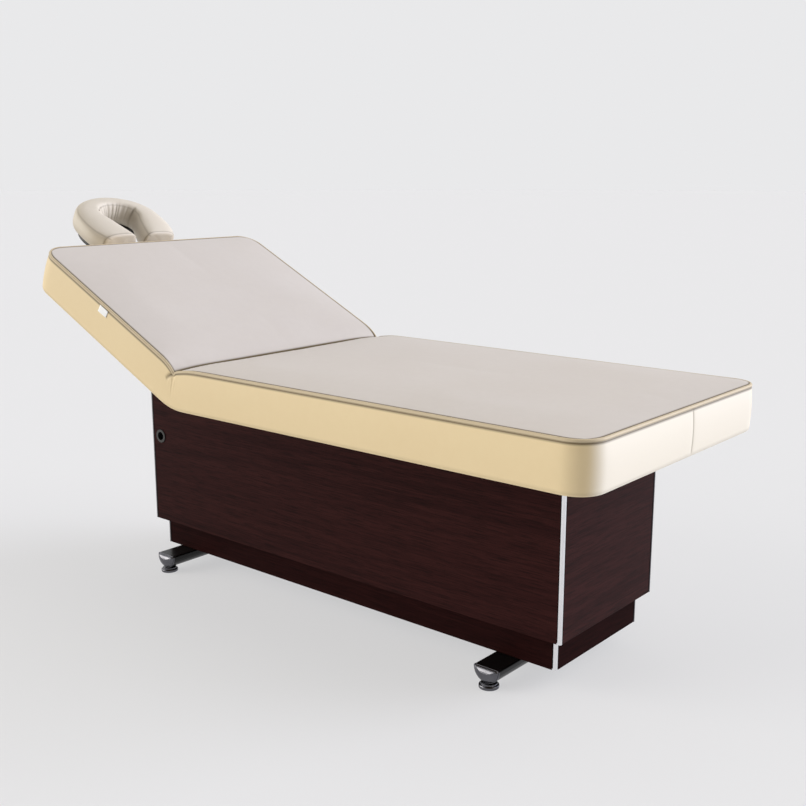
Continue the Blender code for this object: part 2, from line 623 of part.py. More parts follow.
pivot_x, pivot_z = CRADLE_PIVOT
carriage_meshes = [box((pivot_x + 0.004, pivot_x + 0.024), (-0.082, 0.082), (-0.002, 0.018))]
for side in (-1.0, 1.0):
    y = side * ROD_Y
    carriage_meshes.append(cylinder(ROD_RADIUS, (pivot_x + 0.010, y, ROD_Z), (-0.500, y, ROD_Z)))
    lug = sorted((side * 0.0300, side * 0.0400))
    carriage_meshes.append(prism([
        (pivot_x - 0.009, pivot_z), (pivot_x + 0.009, pivot_z), (pivot_x + 0.022, 0.0080),
        (pivot_x + 0.006, 0.0000)], "Y", *lug))
    carriage_meshes.append(cylinder(0.0090, (pivot_x, lug[0], pivot_z), (pivot_x, lug[1], pivot_z)))
carriage_meshes.append(cylinder(0.0040, (pivot_x, -0.0530, pivot_z), (pivot_x, 0.0395, pivot_z), 24))
fused("cradle_carriage", carriage_meshes, "grey_tube", hinge)

tilt_frame = empty("tilt_knob_frame", (pivot_x, -0.0410, pivot_z), hinge)
tilt_knob = fluted(lathe([(0.0, 0.0), (0.009, 0.0), (0.009, 0.003), (0.012, 0.004),
                          (0.012, 0.017), (0.010, 0.019), (0.0, 0.019)], (0, 0, 0), 40), 0.012)
bmesh.ops.rotate(tilt_knob, verts=tilt_knob.verts, cent=(0, 0, 0),
                 matrix=Matrix.Rotation(math.pi / 2, 3, "X"))
tilt_knob = piece("cradle_tilt_knob", tilt_knob, "black_plastic", tilt_frame)
boolean(tilt_knob, cutter("tilt_knob_bore", cylinder(0.004 + RUN, (0, 0.01, 0), (0, -0.0130, 0), 24),
                          tilt_frame))

# ---------------------------------------------------------------- cradle plate and face cushion
# The cradle frame has its origin on the tilt pivot.
centre_x = CRADLE_CENTRE_X - pivot_x
mid_z = CRADLE_MID_Z - pivot_z
plate_z = (mid_z - PAD_HALF_HEIGHT - 0.0105, mid_z - PAD_HALF_HEIGHT - 0.0005)


def oval(semi_x, semi_y, count=40):
    """Points of an oval about the middle of the cradle."""
    return [(centre_x + semi_x * math.cos(math.tau * k / count),
             semi_y * math.sin(math.tau * k / count)) for k in range(count)]


plate_meshes = [prism(oval(0.122, 0.134), "Z", *plate_z)]
for side in (-1.0, 1.0):
    lug = sorted((side * 0.0180, side * 0.0295))
    plate_meshes.append(prism([(-0.009, 0.0), (0.009, 0.0), (0.016, plate_z[1] - 0.003),
                               (-0.024, plate_z[1] - 0.003)], "Y", *lug))
    plate_meshes.append(cylinder(0.0090, (0, lug[0], 0), (0, lug[1], 0)))
plate = fused("cradle_plate", plate_meshes, "black_plastic", cradle)
boolean(plate, cutter("cradle_plate_hole", prism(oval(0.074, 0.086), "Z", plate_z[0] - 0.01,
                                                 plate_z[1] + 0.01), cradle))
boolean(plate, cutter("cradle_plate_bore", cylinder(0.004 + RUN, (0, -0.05, 0), (0, 0.05, 0), 24),
                      cradle))


def along_half(points, share):
    """A point of a smooth curve through points; share runs from 0 at the first to 1."""
    mirror = (points[-2][0], -points[-2][1])
    lead = (2 * points[0][0] - points[1][0], 2 * points[0][1] - points[1][1])
    chain = [lead, *points, mirror]
    place = min(share, 0.99999) * (len(points) - 1)
    k, t = int(place), place - int(place)
    value = []
    for axis in (0, 1):
        p0, p1, p2, p3 = (chain[k + n][axis] for n in range(4))
        value.append(0.5 * (2 * p1 + (p2 - p0) * t + (2 * p0 - 5 * p1 + 4 * p2 - p3) * t * t
                            + (3 * p1 - p0 - 3 * p2 + p3) * t ** 3))
    return Vector(value)


def face_pad(segments=44, around=24):
    """A horseshoe of soft boxy section, open towards the backrest."""
    shares = [0.0, 0.006, 0.016, 0.032] + [0.032 + 0.968 * k / segments * 2 for k in
                                           range(1, segments // 2 + 1)]
    shares = [(s, 1.0) for s in shares] + [(s, -1.0) for s in reversed(shares[:-1])]
    rings = []
    for share, side in shares:
        outer, inner = along_half(PAD_OUTER, share), along_half(PAD_INNER, share)
        outer.y *= side
        inner.y *= side
        middle, reach = (outer + inner) / 2, (outer - inner) / 2
        fall = max(0.0, 1.0 - share / 0.032)
        grow = 1.0 - 0.20 * (1.0 - math.sqrt(1.0 - fall * fall))
        ring = []
        for j in range(around):
            phase = math.tau * j / around
            flat, high = math.cos(phase), math.sin(phase)
            flat = math.copysign(abs(flat) ** 0.62, flat) * grow
            high = math.copysign(abs(high) ** 0.62, high) * PAD_HALF_HEIGHT * grow
            point = middle + reach * flat
            ring.append((point.x, point.y, mid_z + high))
        rings.append(ring)
    return loft(rings)


piece("face_cushion", face_pad(), "leather_side", cradle)
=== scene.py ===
"""Looks of the facial treatment bed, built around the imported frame. Metres, +Z up, +X to the foot end."""

import math

import bmesh
import bpy
import numpy as np
from mathutils import Matrix, Vector


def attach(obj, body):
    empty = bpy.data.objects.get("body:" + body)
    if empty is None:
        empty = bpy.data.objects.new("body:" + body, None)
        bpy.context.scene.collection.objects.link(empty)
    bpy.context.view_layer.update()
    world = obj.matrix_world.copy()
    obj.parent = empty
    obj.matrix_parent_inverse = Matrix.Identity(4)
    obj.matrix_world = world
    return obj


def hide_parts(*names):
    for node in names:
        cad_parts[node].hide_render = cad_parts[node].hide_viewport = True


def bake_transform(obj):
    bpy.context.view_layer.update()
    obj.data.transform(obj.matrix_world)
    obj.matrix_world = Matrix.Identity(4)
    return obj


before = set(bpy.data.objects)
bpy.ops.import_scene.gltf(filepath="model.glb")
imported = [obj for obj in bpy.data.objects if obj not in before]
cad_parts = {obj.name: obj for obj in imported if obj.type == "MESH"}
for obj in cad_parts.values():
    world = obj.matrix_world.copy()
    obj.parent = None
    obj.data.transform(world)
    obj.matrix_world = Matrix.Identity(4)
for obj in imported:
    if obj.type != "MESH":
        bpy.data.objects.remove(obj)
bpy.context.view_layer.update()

# ---------------------------------------------------------------- places, repeated from the design
SHIFT = 0.1738
BACK_ANGLE = 0.4513
CREASE_X = -0.3531 + SHIFT
PIVOT_Z = 0.5185
BOTTOM, TOP = 0.5386 - PIVOT_Z, 0.6551 - PIVOT_Z
HALF_BEND = math.tan(BACK_ANGLE / 2)
PIVOT_X = CREASE_X - TOP * HALF_BEND
FOOT_X = 0.880 + SHIFT
HALF_WIDTH = 0.400
BACK_LENGTH = 0.6477
SEAT_LENGTH = FOOT_X - CREASE_X
CORNER = 0.064
INSET = 0.006                 # the top panel ends this far inside the outline
FOOT_SEAM_Y = 0.036           # the upright seam in the foot-end boxing
PIPING_RADIUS = 0.0042
CLOTH_FRAMES = 16
TAG_U, TAG_LENGTH, TAG_HEIGHT, TAG_THICK = -0.368, 0.038, 0.019, 0.0007

CRADLE_PIVOT = (-0.760, 0.030)
CRADLE_TILT = math.radians(4.0)
PAD_MID_Z = 0.095 - 0.030
PAD_HALF_HEIGHT = 0.0400
# Half of the face pad's plan in the cradle's frame, from an arm's end to the middle of the head side.
PAD_OUTER = ((0.016, 0.136), (-0.030, 0.156), (-0.085, 0.160), (-0.140, 0.150),
             (-0.187, 0.115), (-0.2153, 0.060), (-0.2242, 0.0))
PAD_INNER = ((0.016, 0.010), (-0.024, 0.020), (-0.066, 0.036), (-0.105, 0.052),
             (-0.134, 0.042), (-0.148, 0.020), (-0.151, 0.0))


# ---------------------------------------------------------------- material helpers
class Nodes:
    """Short calls for building a node material."""

    def __init__(self, name, colour, roughness, metallic=0.0):
        self.material = bpy.data.materials.new(name)
        self.material.use_nodes = True
        self.tree = self.material.node_tree
        self.shader = self.tree.nodes["Principled BSDF"]
        self.shader.inputs["Base Color"].default_value = (*colour, 1.0)
        self.shader.inputs["Roughness"].default_value = roughness
        self.shader.inputs["Metallic"].default_value = metallic
        self.material.diffuse_color = (*colour, 1.0)
        self.coords = self.add("ShaderNodeTexCoord").outputs["Object"]

    def add(self, kind, **settings):
        node = self.tree.nodes.new(kind)
        for key, value in settings.items():
            setattr(node, key, value)
        return node

    def link(self, out, into):
        self.tree.links.new(out, into)

    def set(self, **values):
        for key, value in values.items():
            self.shader.inputs[key.replace("_", " ")].default_value = value

    def mapped(self, scale):
        node = self.add("ShaderNodeMapping")
        node.inputs["Scale"].default_value = scale
        self.link(self.coords, node.inputs["Vector"])
        return node.outputs["Vector"]

    def noise(self, scale, detail=4.0, rough=0.55, distort=0.0, vector=None):
        node = self.add("ShaderNodeTexNoise")
        node.inputs["Scale"].default_value = scale
        node.inputs["Detail"].default_value = detail
        node.inputs["Roughness"].default_value = rough
        node.inputs["Distortion"].default_value = distort
        self.link(vector or self.coords, node.inputs["Vector"])
        return node.outputs["Fac"]

    def cells(self, scale):
        node = self.add("ShaderNodeTexVoronoi")
        node.inputs["Scale"].default_value = scale
        self.link(self.coords, node.inputs["Vector"])
        return node.outputs["Distance"]

    def ramp(self, value, *stops):
        node = self.add("ShaderNodeValToRGB")
        ramp = node.color_ramp
        while len(ramp.elements) < len(stops):
            ramp.elements.new(0.5)
        for element, (place, colour) in zip(ramp.elements, stops):
            element.position = place
            element.color = (*colour, 1.0)
        self.link(value, node.inputs["Fac"])
        return node.outputs["Color"]

    def span(self, value, low, high):
        """Maps a 0 to 1 value to a range."""
        node = self.add("ShaderNodeMapRange")
        node.inputs["To Min"].default_value = low
        node.inputs["To Max"].default_value = high
        self.link(value, node.inputs["Value"])
        return node.outputs["Result"]

    def mix(self, factor, one, two, blend="MIX"):
        node = self.add("ShaderNodeMix", data_type="RGBA", blend_type=blend)
        for socket, value in ((node.inputs[0], factor), (node.inputs[6], one), (node.inputs[7], two)):
            if isinstance(value, bpy.types.NodeSocket):
                self.link(value, socket)
            elif isinstance(value, tuple):
                socket.default_value = (*value, 1.0)
            else:
                socket.default_value = value
        return node.outputs[2]

    def add_up(self, one, two, scale):
        node = self.add("ShaderNodeMath", operation="MULTIPLY_ADD")
        self.link(two, node.inputs[0])
        node.inputs[1].default_value = scale
        self.link(one, node.inputs[2])
        return node.outputs[0]

    def bump(self, height, strength, distance):
        node = self.add("ShaderNodeBump")
        node.inputs["Strength"].default_value = strength
        node.inputs["Distance"].default_value = distance
        self.link(height, node.inputs["Height"])
        self.link(node.outputs["Normal"], self.shader.inputs["Normal"])

    def colour(self, out):
        self.link(out, self.shader.inputs["Base Color"])

    def roughness(self, out):
        self.link(out, self.shader.inputs["Roughness"])

    def attribute(self, name):
        return self.add("ShaderNodeAttribute", attribute_name=name).outputs["Fac"]


def upholstery(name, base, shade, seam, roughness=0.50, shine=0.30):
    """Coated upholstery fabric: fine pebble grain, faint mottling, dark lines along the stitching that are
    partly painted shade, and painted shade and glare where a mesh asks for them.
    """
    m = Nodes(name, base, roughness)
    broad = m.noise(3.0, 3.0, 0.5)
    fine = m.noise(42.0, 5.0, 0.6)
    tone = m.mix(m.span(broad, 0.0, 0.85), base, shade)
    tone = m.mix(m.span(fine, 0.0, 0.10), tone, shade, "MULTIPLY")
    # Painted shade: a darker, warmer brown where the mesh asks for it.
    tone = m.mix(m.attribute("warm"), tone, tuple(0.62 * c ** 1.35 for c in shade))
    # Painted glare: towards a pale cream-white where the mesh asks for it, used on the foot-end boxing.
    tone = m.mix(m.attribute("pale"), tone, (0.70, 0.645, 0.540))
    # Dark lines along stitching, creases and the piping's edges: stitching, with painted shade.
    tone = m.mix(m.attribute("seam"), tone, seam)
    m.colour(tone)
    pebble = m.cells(820.0)
    creases = m.noise(260.0, 6.0, 0.65)
    m.bump(m.add_up(pebble, creases, 0.8), 0.16, 0.0006)
    m.roughness(m.span(m.noise(90.0, 4.0, 0.6), roughness - 0.05, roughness + 0.08))
    m.set(Sheen_Weight=0.02, Sheen_Roughness=0.4, Specular_IOR_Level=shine)
    return m.material


def wood(name, grain_axis, depth=1.0):
    """Dark laminate with long horizontal grain, open pores and a satin lacquer."""
    m = Nodes(name, (0.030, 0.014, 0.012), 0.34)
    long, across = (2.2, 60.0)
    scale = (long, across, across) if grain_axis == "X" else (across, long, across)
    figure = m.noise(1.0, 7.0, 0.62, 0.9, m.mapped(scale))
    pores = m.noise(1.0, 5.0, 0.7, 0.2, m.mapped(tuple(6.0 * s for s in scale)))
    wide = m.noise(1.0, 3.0, 0.5, 0.6, m.mapped(tuple(0.22 * s for s in scale)))
    # depth below 1 darkens the laminate and its gloss: painted shade for the plinth.
    light = tuple(depth * c for c in (0.0310, 0.0090, 0.0085))
    middle = tuple(depth * c for c in (0.0190, 0.0052, 0.0052))
    dark = tuple(depth * c for c in (0.0100, 0.0030, 0.0030))
    tone = m.ramp(figure, (0.26, dark), (0.46, middle), (0.60, light), (0.76, dark))
    tone = m.mix(m.span(wide, 0.0, 0.85), tone, light)
    tone = m.mix(m.ramp(pores, (0.40, (0.60, 0.60, 0.60)), (0.52, (0.0, 0.0, 0.0))), tone,
                 (0.0050, 0.0022, 0.0022))
    m.colour(tone)
    m.roughness(m.span(pores, 0.34, 0.50))
    m.bump(m.add_up(figure, pores, 1.2), 0.08, 0.0005)
    m.set(Specular_IOR_Level=0.03 * depth ** 2)
    return m.material


def brushed(name, colour, roughness, scale):
    """Metal with fine parallel brushing; scale says how fine on each axis."""
    m = Nodes(name, colour, roughness, 1.0)
    lines = m.noise(1.0, 4.0, 0.7, 0.0, m.mapped(scale))
    cloud = m.noise(14.0, 3.0, 0.5)
    dull = tuple(c * 0.86 for c in colour)
    m.colour(m.mix(m.span(cloud, 0.0, 1.0), colour, dull))
    m.roughness(m.span(m.add_up(lines, cloud, 0.5), roughness - 0.07, roughness + 0.12))
    m.bump(lines, 0.05, 0.0004)
    return m.material


def chrome(name):
    """Dark polished metal with faint smudges."""
    m = Nodes(name, (0.34, 0.34, 0.37), 0.12, 1.0)
    smudge = m.noise(38.0, 5.0, 0.6)
    m.roughness(m.span(smudge, 0.14, 0.34))
    m.colour(m.mix(m.span(smudge, 0.0, 1.0), (0.20, 0.20, 0.22), (0.06, 0.06, 0.068)))
    m.bump(m.noise(420.0, 3.0, 0.5), 0.015, 0.0003)
    return m.material


def coated(name, colour, roughness, grain, strength, shine=0.5):
    """Painted or moulded surface with a fine grain."""
    m = Nodes(name, colour, roughness)
    fine = m.noise(grain, 4.0, 0.6)
    cloud = m.noise(9.0, 4.0, 0.6)
    lighter = tuple(c * 1.35 + 0.004 for c in colour)
    tone = m.mix(m.span(cloud, 0.0, 1.0), colour, lighter)
    m.colour(m.mix(m.span(fine, 0.0, 0.5), tone, tuple(c * 0.7 for c in colour)))
    m.roughness(m.span(cloud, roughness - 0.06, roughness + 0.10))
    m.bump(fine, strength, 0.0005)
    m.set(Specular_IOR_Level=shine)
    return m.material


def plywood(name):
    """Pale board with a long, calm grain."""
    m = Nodes(name, (0.50, 0.36, 0.22), 0.6)
    figure = m.noise(1.0, 5.0, 0.5, 0.15, m.mapped((1.3, 34.0, 8.0)))
    fibre = m.noise(1.0, 4.0, 0.7, 0.0, m.mapped((14.0, 420.0, 60.0)))
    tone = m.ramp(figure, (0.30, (0.42, 0.29, 0.17)), (0.52, (0.50, 0.36, 0.22)),
                  (0.72, (0.56, 0.42, 0.27)))
    m.colour(m.mix(m.span(fibre, 0.0, 0.30), tone, (0.30, 0.19, 0.10)))
    m.bump(fibre, 0.25, 0.0004)
    m.roughness(m.span(fibre, 0.5, 0.72))
    return m.material


# Colour of the dark lines at stitching, creases and piping edges: stitching, with painted shade.
SEAM_AND_SHADE_COLOUR = (0.105, 0.078, 0.040)
# Painted reflection: the top panel is a cooler, greyer copy of the cream fabric, standing in for the cool
# light its top reflects.
TOP_PANEL = upholstery("top_upholstery_painted_reflection", (0.575, 0.540, 0.510), (0.530, 0.487, 0.445), SEAM_AND_SHADE_COLOUR,
                       0.62, 0.06)
SIDE_PANEL = upholstery("cream_upholstery", (0.72, 0.590, 0.365), (0.68, 0.545, 0.330), SEAM_AND_SHADE_COLOUR)
PIPING = upholstery("piping_upholstery", (0.56, 0.470, 0.325), (0.52, 0.425, 0.280),
                    (0.085, 0.062, 0.034))
PAD_LEATHER = upholstery("cradle_upholstery", (0.600, 0.555, 0.480), (0.550, 0.490, 0.400),
                         (0.100, 0.075, 0.045))
WOOD_X = wood("wenge_laminate_long", "X")
WOOD_Y = wood("wenge_laminate_short", "Y")
# Painted shade: the plinth, set back under the cabinet, gets darker copies of the same laminate.
PLINTH_X = wood("plinth_laminate_long_painted_shade", "X", 0.62)
PLINTH_Y = wood("plinth_laminate_short_painted_shade", "Y", 0.48)
PROFILE = brushed("bright_aluminium", (0.86, 0.86, 0.88), 0.22, (900.0, 900.0, 12.0))
# Painted shade: a darkened copy of the corner aluminium, for all corner profiles but the near one at the
# foot end.
PROFILE_PAINTED_SHADE = brushed("aluminium_with_painted_shade", (0.13, 0.12, 0.125), 0.30, (900.0, 900.0, 12.0))
COLUMN = brushed("anodised_column", (0.46, 0.47, 0.49), 0.34, (500.0, 500.0, 8.0))
ROD_STEEL = brushed("satin_steel", (0.52, 0.53, 0.55), 0.24, (60.0, 60.0, 60.0))
CHROME = chrome("polished_chrome")
BEAM = coated("black_anodised", (0.0025, 0.0025, 0.0028), 0.26, 900.0, 0.03, shine=0.25)
FRAME_PAINT = coated("grey_powder_coat", (0.052, 0.054, 0.058), 0.46, 700.0, 0.25)
PLASTIC = coated("black_plastic_grain", (0.0045, 0.0042, 0.0042), 0.50, 1100.0, 0.30)
PLYWOOD = plywood("birch_plywood")

for node_name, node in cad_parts.items():
    if node_name.startswith("cabinet_side"):
        material = WOOD_X
    elif node_name.startswith("cabinet_end"):
        material = WOOD_Y
    elif node_name.startswith("plinth_side"):
        material = PLINTH_X
    elif node_name.startswith("plinth_end"):
        material = PLINTH_Y
    elif "_corner_" in node_name:
        # Painted shade: all corner profiles but the near foot-end one take the darkened aluminium.
        material = PROFILE if node_name.endswith("foot_near") else PROFILE_PAINTED_SHADE
    elif node_name.startswith("column_"):
        material = COLUMN
    elif node_name in ("hinge_shaft", "cradle_carriage"):
        material = ROD_STEEL
    elif node_name.startswith(("beam_cap", "foot_")) or node_name == "actuator_rod":
        material = CHROME
    elif node_name in ("beam_head", "beam_foot"):
        material = BEAM
    elif node_name in ("seat_board", "backrest_board"):
        material = PLYWOOD
    elif node_name in ("mains_inlet", "control_box", "accessory_socket", "actuator_body",
                       "cradle_slide_knob", "cradle_tilt_knob", "cradle_plate"):
        material = PLASTIC
    elif node_name.endswith("_cushion"):
        material = SIDE_PANEL
    else:
        material = FRAME_PAINT
    for material_slot in node.material_slots:
        material_slot.material = material


# ---------------------------------------------------------------- mesh helpers
def mesh_object(name, verts, faces, materials, face_material=None, **layers):
    """A smooth mesh. Each layer is a 0 to 1 value per vertex that its material reads by name."""
    mesh = bpy.data.meshes.new(name)
    mesh.from_pydata([tuple(v) for v in verts], [], faces)
    for material in materials:
        mesh.materials.append(material)
    if face_material is not None:
        mesh.polygons.foreach_set("material_index", face_material)
    for layer_name, values in layers.items():
        layer = mesh.attributes.new(layer_name, "FLOAT", "POINT")
        layer.data.foreach_set("value", np.clip(values, 0.0, 1.0).astype(np.float32))
    mesh.shade_smooth()
    mesh.validate()
    obj = bpy.data.objects.new(name, mesh)
    bpy.context.scene.collection.objects.link(obj)
    return obj


def near(value, place, width):
    """A smooth bump of height 1 at place."""
    return math.exp(-((value - place) / width) ** 2)


def clamp(value):
    return max(0.0, min(1.0, value))


def fix_normals(obj):
    bm = bmesh.new()
    bm.from_mesh(obj.data)
    bmesh.ops.recalc_face_normals(bm, faces=bm.faces)
    bm.to_mesh(obj.data)
    bm.free()


def coordinates(mesh):
    co = np.empty(len(mesh.vertices) * 3)
    mesh.vertices.foreach_get("co", co)
    return co.reshape(-1, 3)


def inflate(obj, free, pressure, cap):
    """Swells a closed mesh by cloth simulation, at most by cap. free is 0 where it is sewn down."""
    group = obj.vertex_groups.new(name="sewn")
    for index, value in enumerate(free):
        if value < 1.0:
            group.add([index], float(1.0 - value), "REPLACE")
    modifier = obj.modifiers.new("cloth", "CLOTH")
    cloth = modifier.settings
    cloth.quality = 6
    cloth.mass = 0.25
    cloth.tension_stiffness = 15.0
    cloth.compression_stiffness = 15.0
    cloth.shear_stiffness = 5.0
    cloth.bending_stiffness = 0.8
    cloth.use_pressure = True
    cloth.uniform_pressure_force = pressure
    cloth.vertex_group_mass = "sewn"
    cloth.effector_weights.gravity = 0.0
    modifier.collision_settings.use_collision = False
    modifier.point_cache.frame_start = 1
    modifier.point_cache.frame_end = CLOTH_FRAMES
    before = coordinates(obj.data)
    for step in range(1, CLOTH_FRAMES + 1):
        bpy.context.scene.frame_set(step)
    depsgraph = bpy.context.evaluated_depsgraph_get()
    swollen = coordinates(obj.evaluated_get(depsgraph).data)
    obj.modifiers.remove(modifier)
    obj.vertex_groups.clear()
    bpy.context.scene.frame_set(1)
    moved = swollen - before
    length = np.linalg.norm(moved, axis=1)
    moved *= (np.minimum(length, cap) / np.maximum(length, 1e-9))[:, None]
    obj.data.vertices.foreach_set("co", (before + moved).ravel())
    obj.data.update()


def subdivide(obj):
    """Applies one Catmull-Clark subdivision."""
    modifier = obj.modifiers.new("smooth", "SUBSURF")
    modifier.levels = 1
    modifier.render_levels = 1
    depsgraph = bpy.context.evaluated_depsgraph_get()
    mesh = bpy.data.meshes.new_from_object(obj.evaluated_get(depsgraph))
    obj.modifiers.clear()
    old = obj.data
    obj.data = mesh
    mesh.name = obj.name
    bpy.data.meshes.remove(old)


def tube_loop(name, path, radius, sides, material, normals, seam_at, seam_width):
    """A round tube along a closed path. normals point outward and place the dark lines, painted shade where
    the tube sinks into the cover.
    """
    path = [Vector(p) for p in path]
    count = len(path)
    verts, seam, faces = [], [], []
    for k, point in enumerate(path):
        n = (k + 1) % count
        along = (path[n] - path[k - 1]).normalized()
        out = Vector(normals[k])
        out = (out - along * out.dot(along)).normalized()
        side = along.cross(out)
        for j in range(sides):
            phase = math.tau * j / sides
            verts.append(point + (out * math.cos(phase) + side * math.sin(phase)) * radius)
            # Painted shade: dark lines where the tube sinks into the cover.
            gaps = [abs((phase - place + math.pi) % math.tau - math.pi) for place in seam_at]
            seam.append(near(min(gaps), 0.0, seam_width))
            i = (j + 1) % sides
            faces.append((k * sides + j, k * sides + i, n * sides + i, n * sides + j))
    obj = mesh_object(name, verts, faces, [material], seam=seam)
    fix_normals(obj)
    return obj


# ---------------------------------------------------------------- frames of the tilted pieces
BACK_FRAME = Matrix.Translation((PIVOT_X, 0.0, PIVOT_Z)) @ Matrix.Rotation(BACK_ANGLE, 4, "Y")
CRADLE_FRAME = (BACK_FRAME @ Matrix.Translation((CRADLE_PIVOT[0], 0.0, CRADLE_PIVOT[1]))
                @ Matrix.Rotation(CRADLE_TILT, 4, "Y"))


def seat_place(u, y, z):
    """A point of the seat side: u along the top from the crease, z above the hinge."""
    corner = z * HALF_BEND
    reach = (FOOT_X - PIVOT_X - corner) / (FOOT_X - PIVOT_X - TOP * HALF_BEND)
    return Vector((PIVOT_X + corner + u * reach, y, PIVOT_Z + z))


def back_place(u, y, z):
    """A point of the backrest side, with u negative towards the head end."""
    corner = z * HALF_BEND
    head = TOP * HALF_BEND + BACK_LENGTH
    reach = (head - corner) / (head - TOP * HALF_BEND)
    return BACK_FRAME @ Vector((-corner + u * reach, y, z))


def bed_place(u, y, z):
    """A point of the whole mattress, its bend rounded more at the bottom than at the top."""
    soft = 0.005 + 0.043 * clamp((TOP - z) / (TOP - BOTTOM)) ** 1.5
    if abs(u) >= soft:
        return seat_place(u, y, z) if u > 0 else back_place(u, y, z)
    t = (u + soft) / (2 * soft)
    one, two, three = back_place(-soft, y, z), seat_place(0.0, y, z), seat_place(soft, y, z)
    return one * (1 - t) ** 2 + two * (2 * t * (1 - t)) + three * t ** 2


# ---------------------------------------------------------------- mattress
def spaced(start, end, step):
    count = max(1, round((end - start) / step))
    return [start + (end - start) * k / count for k in range(count + 1)]


def lines(low, high, radius, step, extra=()):
    """Grid lines from low to high, close together near the ends and at the extra places."""
    shares = (0.0, 0.10, 0.24, 0.42, 0.62, 0.82, 1.0)
    values = [low + radius * s for s in shares] + [high - radius * s for s in shares]
    values += spaced(low + radius, high - radius, step)
    values += [e for e in extra if low + 0.01 < e < high - 0.01]
    values = sorted(values)
    kept = [values[0]]
    for value in values[1:]:
        close = any(abs(value - e) < 1e-9 for e in extra)
        if value - kept[-1] > (0.0008 if close or abs(value - high) < radius else 0.0022):
            kept.append(value)
    kept[-1] = high
    return kept


def in_plan(u, y, u_low, u_high, half, radius):
    """Moves a grid point of the corner squares onto a rounded corner."""
    centre_y = half - radius
    if abs(y) <= centre_y or (u_low + radius <= u <= u_high - radius):
        return u, y
    sign_u = -1.0 if u < u_low + radius else 1.0
    centre_u = u_low + radius if sign_u < 0 else u_high - radius
    a = abs(u - centre_u) / radius
    b = (abs(y) - centre_y) / radius
    return (centre_u + sign_u * radius * a * math.sqrt(1 - b * b / 2),
            math.copysign(centre_y + radius * b * math.sqrt(1 - a * a / 2), y))


# Distances from the crease at which the grid has a line.
CREASE_LINES = (0.0, 0.0014, 0.003, 0.005, 0.008, 0.0105, 0.013, 0.0165, 0.020, 0.0245, 0.029, 0.034,
                0.040, 0.053)
# Rings of the boxing from the top seam down: how far out, how far down and how dark the line is; the dark
# lines next to the piping are painted shade.
BOXING_RINGS = ((0.0012, 0.0006, 1.0), (0.0040, 0.0026, 0.3), (0.0054, 0.0062, 0.3),
                (0.0057, 0.0086, 1.0), (0.0059, 0.0104, 0.55), (0.0064, 0.0140, 0.0),
                (0.0067, 0.0175, 0.0), (0.0070, 0.0210, 0.0), (0.0074, 0.0260, 0.0),
                (0.0077, 0.0310, 0.0), (0.0080, 0.0370, 0.0), (0.0083, 0.0440, 0.0),
                (0.0085, 0.0570, 0.0), (0.0083, 0.0710, 0.0), (0.0077, 0.0840, 0.0),
                (0.0070, 0.0950, 0.0), (0.0064, 0.1040, 0.0), (0.0058, 0.1105, 0.15),
                (0.0040, 0.1145, 0.0), (0.0012, 0.1158, 0.0))


def top_sag(u, y):
    """How far the top panel is pulled down near the crease, more so towards the long edges."""
    edge = clamp((abs(y) - 0.27) / 0.125) ** 2
    groove = 0.0085 * math.exp(-(abs(u) / (0.007 if u > 0 else 0.011)) ** 1.3)
    slump = (0.002 + 0.0075 * edge) * math.exp(-(u / (0.045 if u > 0 else 0.030)) ** 2)
    return -groove - slump


